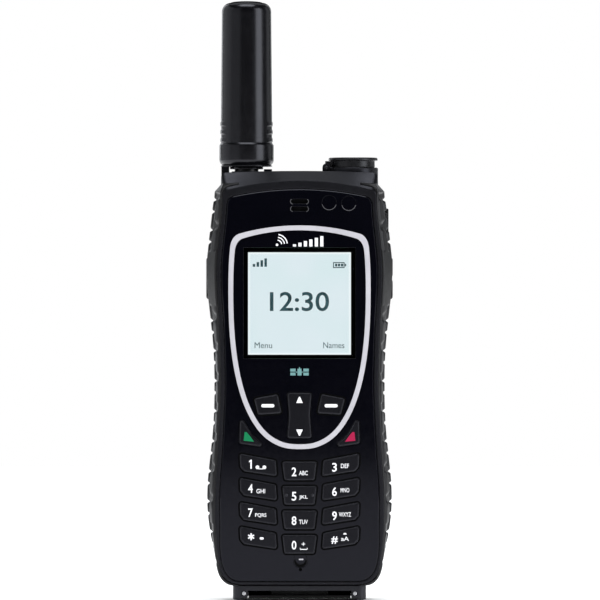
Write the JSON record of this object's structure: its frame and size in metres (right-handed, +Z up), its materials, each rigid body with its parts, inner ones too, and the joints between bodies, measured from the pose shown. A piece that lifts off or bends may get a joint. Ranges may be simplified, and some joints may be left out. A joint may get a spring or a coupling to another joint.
{
  "type": "satellite phone",
  "caption": "Rugged handheld satellite phone with a pull-out stub antenna, oval-framed display, sloping keypad, rubber side grips and a hinged emergency button cap.",
  "frame": {"origin": "under the middle of the case, on the surface that it stands on", "axes": "+X to the user's right, +Y to the back of the phone, +Z up along the antenna"},
  "size_m": [0.06, 0.028, 0.1926],
  "materials": {
    "case": "fine moulded texture",
    "cap": "satin",
    "button": "satin",
    "grip": "soft touch",
    "side_keys": "soft touch",
    "panel": "polished",
    "lens": "clear",
    "display": "lit",
    "trim": "satin plated",
    "keys": "satin",
    "antenna": "satin",
    "mast": "smooth",
    "seal": "matt",
    "board": "coated",
    "metal": "plated",
    "contact": "plated",
    "socket": "moulded"
  },
  "bodies": {
    "body": {"front_cover": "case", "rear_cover": "case", "base_shoe": "case", "battery_pack": "case", "sos_bezel": "case", "left_grip": "grip", "right_grip": "grip", "fascia": "panel", "display_lens": "lens", "fascia_windows": "lens", "lcd_panel": "display", "trim_ring": "trim", "antenna_sleeve": "mast", "housing_gasket": "seal", "keypad_mat": "seal", "main_board": "board", "keypad_board": "board", "dome_contacts": "metal", "shield_cans": "metal", "housing_screws": "metal", "latch_pins": "metal", "port_hinge_pin": "metal", "sos_hinge_pin": "metal", "usb_connector": "metal", "earpiece": "metal", "battery_contacts": "contact", "headset_jack": "socket", "power_jack": "socket", "microphone": "socket", "loudspeaker": "socket"},
    "key_1": {"key_1": "keys"},
    "key_2": {"key_2": "keys"},
    "key_3": {"key_3": "keys"},
    "key_4": {"key_4": "keys"},
    "key_5": {"key_5": "keys"},
    "key_6": {"key_6": "keys"},
    "key_7": {"key_7": "keys"},
    "key_8": {"key_8": "keys"},
    "key_9": {"key_9": "keys"},
    "key_star": {"key_star": "keys"},
    "key_0": {"key_0": "keys"},
    "key_hash": {"key_hash": "keys"},
    "softkey_left": {"softkey_left": "keys"},
    "softkey_right": {"softkey_right": "keys"},
    "nav_key": {"nav_key": "keys"},
    "call_key": {"call_key": "keys"},
    "end_key": {"end_key": "keys"},
    "ptt_button": {"ptt_button": "side_keys"},
    "volume_up": {"volume_up": "side_keys"},
    "volume_down": {"volume_down": "side_keys"},
    "power_button": {"power_button": "case"},
    "sos_button": {"sos_button": "button"},
    "sos_cover": {"sos_cover": "cap"},
    "headset_cover": {"headset_cover": "seal"},
    "port_cover": {"port_cover": "seal"},
    "battery_latch": {"battery_latch": "case"},
    "antenna": {"antenna_radome": "antenna", "antenna_collar": "antenna", "antenna_mast": "mast", "antenna_core": "socket"}
  },
  "joints": [
    {"name": "key_1_press", "type": "slide", "parent": "body", "child": "key_1", "axis": [0, 1, 0], "range_m": [0, 0.00045], "stiffness_N_per_m": 3200},
    {"name": "key_2_press", "type": "slide", "parent": "body", "child": "key_2", "axis": [0, 1, 0], "range_m": [0, 0.00045], "stiffness_N_per_m": 3200},
    {"name": "key_3_press", "type": "slide", "parent": "body", "child": "key_3", "axis": [0, 1, 0], "range_m": [0, 0.00045], "stiffness_N_per_m": 3200},
    {"name": "key_4_press", "type": "slide", "parent": "body", "child": "key_4", "axis": [0, 1, 0], "range_m": [0, 0.00045], "stiffness_N_per_m": 3200},
    {"name": "key_5_press", "type": "slide", "parent": "body", "child": "key_5", "axis": [0, 1, 0], "range_m": [0, 0.00045], "stiffness_N_per_m": 3200},
    {"name": "key_6_press", "type": "slide", "parent": "body", "child": "key_6", "axis": [0, 1, 0], "range_m": [0, 0.00045], "stiffness_N_per_m": 3200},
    {"name": "key_7_press", "type": "slide", "parent": "body", "child": "key_7", "axis": [0, 1, 0], "range_m": [0, 0.00045], "stiffness_N_per_m": 3200},
    {"name": "key_8_press", "type": "slide", "parent": "body", "child": "key_8", "axis": [0, 1, 0], "range_m": [0, 0.00045], "stiffness_N_per_m": 3200},
    {"name": "key_9_press", "type": "slide", "parent": "body", "child": "key_9", "axis": [0, 1, 0], "range_m": [0, 0.00045], "stiffness_N_per_m": 3200},
    {"name": "key_star_press", "type": "slide", "parent": "body", "child": "key_star", "axis": [0, 1, 0], "range_m": [0, 0.00045], "stiffness_N_per_m": 3200},
    {"name": "key_0_press", "type": "slide", "parent": "body", "child": "key_0", "axis": [0, 1, 0], "range_m": [0, 0.00045], "stiffness_N_per_m": 3200},
    {"name": "key_hash_press", "type": "slide", "parent": "body", "child": "key_hash", "axis": [0, 1, 0], "range_m": [0, 0.00045], "stiffness_N_per_m": 3200},
    {"name": "softkey_left_press", "type": "slide", "parent": "body", "child": "softkey_left", "axis": [0, 1, 0], "range_m": [0, 0.00045], "stiffness_N_per_m": 3200},
    {"name": "softkey_right_press", "type": "slide", "parent": "body", "child": "softkey_right", "axis": [0, 1, 0], "range_m": [0, 0.00045], "stiffness_N_per_m": 3200},
    {"name": "nav_key_press", "type": "slide", "parent": "body", "child": "nav_key", "axis": [0, 1, 0], "range_m": [0, 0.00045], "stiffness_N_per_m": 3200},
    {"name": "call_key_press", "type": "slide", "parent": "body", "child": "call_key", "axis": [0, 1, 0], "range_m": [0, 0.00045], "stiffness_N_per_m": 3200},
    {"name": "end_key_press", "type": "slide", "parent": "body", "child": "end_key", "axis": [0, 1, 0], "range_m": [0, 0.00045], "stiffness_N_per_m": 3200},
    {"name": "ptt_button_press", "type": "slide", "parent": "body", "child": "ptt_button", "axis": [1, 0, 0], "range_m": [0, 0.0007], "stiffness_N_per_m": 3500},
    {"name": "volume_up_press", "type": "slide", "parent": "body", "child": "volume_up", "axis": [-1, 0, 0], "range_m": [0, 0.0007], "stiffness_N_per_m": 3500},
    {"name": "volume_down_press", "type": "slide", "parent": "body", "child": "volume_down", "axis": [-1, 0, 0], "range_m": [0, 0.0007], "stiffness_N_per_m": 3500},
    {"name": "power_button_press", "type": "slide", "parent": "body", "child": "power_button", "axis": [0, 0, -1], "range_m": [0, 0.0006], "stiffness_N_per_m": 3500},
    {"name": "sos_button_press", "type": "slide", "parent": "body", "child": "sos_button", "axis": [0, 0, -1], "range_m": [0, 0.0008], "stiffness_N_per_m": 3000},
    {"name": "sos_cover_hinge", "type": "hinge", "parent": "body", "child": "sos_cover", "pos_m": [0.0086, 0.0022, 0.1389], "axis": [0, -1, 0], "range_deg": [0, 110]},
    {"name": "headset_cover_hinge", "type": "hinge", "parent": "body", "child": "headset_cover", "pos_m": [0.0281, 0.0026, 0.117], "axis": [0, 1, 0], "range_deg": [0, 100]},
    {"name": "port_cover_hinge", "type": "hinge", "parent": "body", "child": "port_cover", "pos_m": [0, 0.0066, 0.0015], "axis": [1, 0, 0], "range_deg": [0, 90]},
    {"name": "battery_latch_slide", "type": "slide", "parent": "body", "child": "battery_latch", "axis": [0, 0, 1], "range_m": [0, 0.003], "stiffness_N_per_m": 800},
    {"name": "antenna_extend", "type": "slide", "parent": "body", "child": "antenna", "axis": [0, 0, 1], "range_m": [0, 0.04]}
  ]
}
